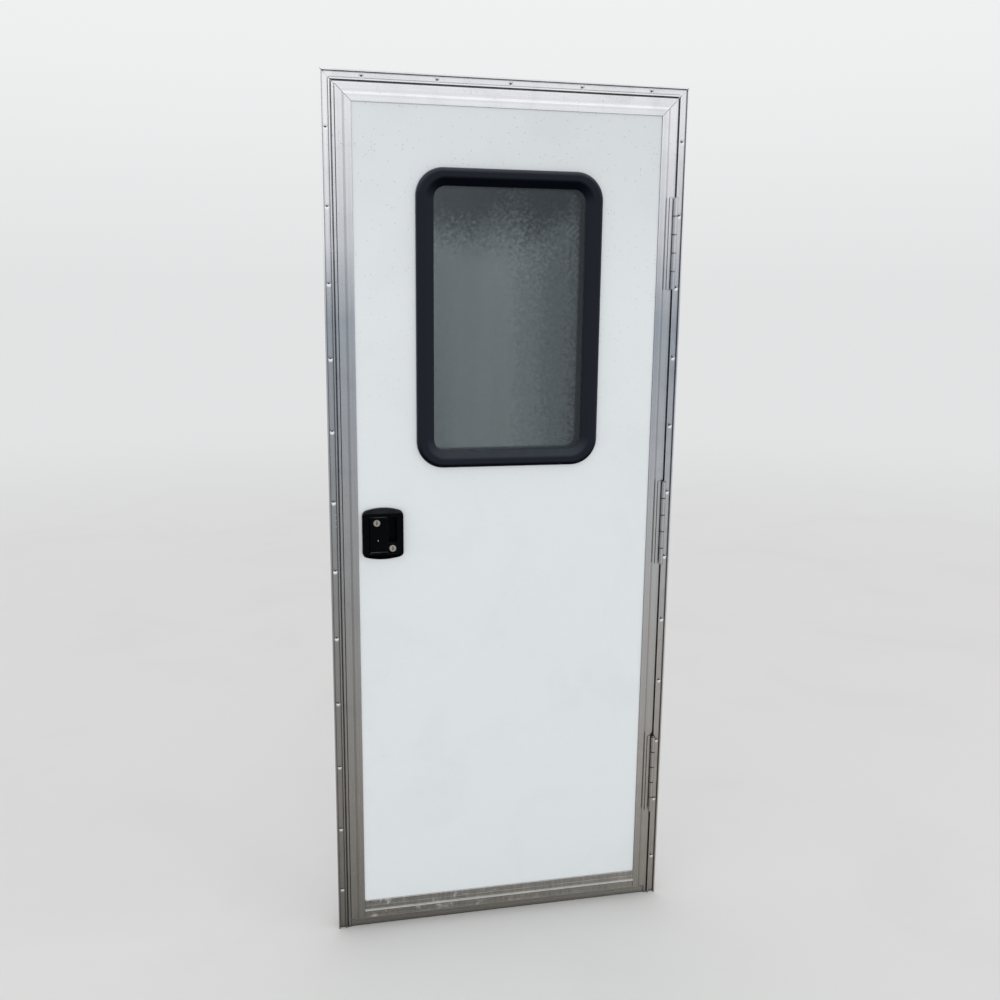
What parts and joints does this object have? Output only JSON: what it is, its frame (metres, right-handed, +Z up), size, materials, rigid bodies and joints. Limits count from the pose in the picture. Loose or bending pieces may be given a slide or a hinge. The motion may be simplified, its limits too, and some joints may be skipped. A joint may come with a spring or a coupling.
{
  "type": "caravan entry door with jamb frame",
  "caption": "Outward opening caravan door leaf with window and paddle lock, hung on knuckle hinges in a flanged aluminium jamb frame.",
  "frame": {"origin": "middle of the back face of the sill's mounting flange, on the wall plane", "axes": "+X to the hinge side, +Y into the caravan, +Z up"},
  "size_m": [0.762, 0.0785, 1.854],
  "materials": {
    "mill_aluminium": "mill satin",
    "white_skin": "smooth satin",
    "black_plastic": "satin",
    "obscure_glass": "hammered",
    "core_foam": "matt",
    "seal_rubber": "matt",
    "plated_steel": "plated",
    "nickel": "satin nickel"
  },
  "bodies": {
    "frame": {"latch_jamb": "mill_aluminium", "hinge_jamb": "mill_aluminium", "head_jamb": "mill_aluminium", "sill": "mill_aluminium", "latch_jamb_seal": "seal_rubber", "hinge_jamb_seal": "seal_rubber", "head_seal": "seal_rubber", "strike_plate": "plated_steel", "lower_hinge_frame_leaf": "mill_aluminium", "lower_hinge_pin": "plated_steel", "middle_hinge_frame_leaf": "mill_aluminium", "middle_hinge_pin": "plated_steel", "upper_hinge_frame_leaf": "mill_aluminium", "upper_hinge_pin": "plated_steel"},
    "door": {"door_latch_stile": "mill_aluminium", "door_hinge_stile": "mill_aluminium", "door_head_rail": "mill_aluminium", "door_bottom_rail": "mill_aluminium", "outer_skin": "white_skin", "foam_core": "core_foam", "inner_skin": "white_skin", "window_outer_frame": "black_plastic", "window_glass": "obscure_glass", "window_inner_frame": "black_plastic", "lock_bezel": "black_plastic", "paddle_pin": "plated_steel", "lock_case": "plated_steel", "latch_bolt": "plated_steel", "deadbolt": "plated_steel", "lock_inner_plate": "black_plastic", "inner_lever": "black_plastic", "deadbolt_knob": "black_plastic", "lower_hinge_door_leaf": "mill_aluminium", "middle_hinge_door_leaf": "mill_aluminium", "upper_hinge_door_leaf": "mill_aluminium"},
    "paddle": {"lock_paddle": "black_plastic"},
    "paddle_key": {"paddle_key_plug": "nickel"},
    "deadbolt_key": {"deadbolt_key_plug": "nickel"}
  },
  "joints": [
    {"name": "door_swing", "type": "hinge", "parent": "frame", "child": "door", "pos_m": [0.357, -0.018, 0.918], "axis": [0, 0, 1], "range_deg": [0, 180]},
    {"name": "paddle_pull", "type": "hinge", "parent": "door", "child": "paddle", "pos_m": [-0.297, -0.018, 0.918], "axis": [0, 0, -1], "range_deg": [0, 32], "stiffness_Nm_per_rad": 0.3},
    {"name": "paddle_key_turn", "type": "hinge", "parent": "paddle", "child": "paddle_key", "pos_m": [-0.2834, -0.0205, 0.9423], "axis": [0, 1, 0], "range_deg": [0, 90]},
    {"name": "deadbolt_key_turn", "type": "hinge", "parent": "door", "child": "deadbolt_key", "pos_m": [-0.2501, -0.0205, 0.8865], "axis": [0, 1, 0], "range_deg": [0, 90]}
  ]
}
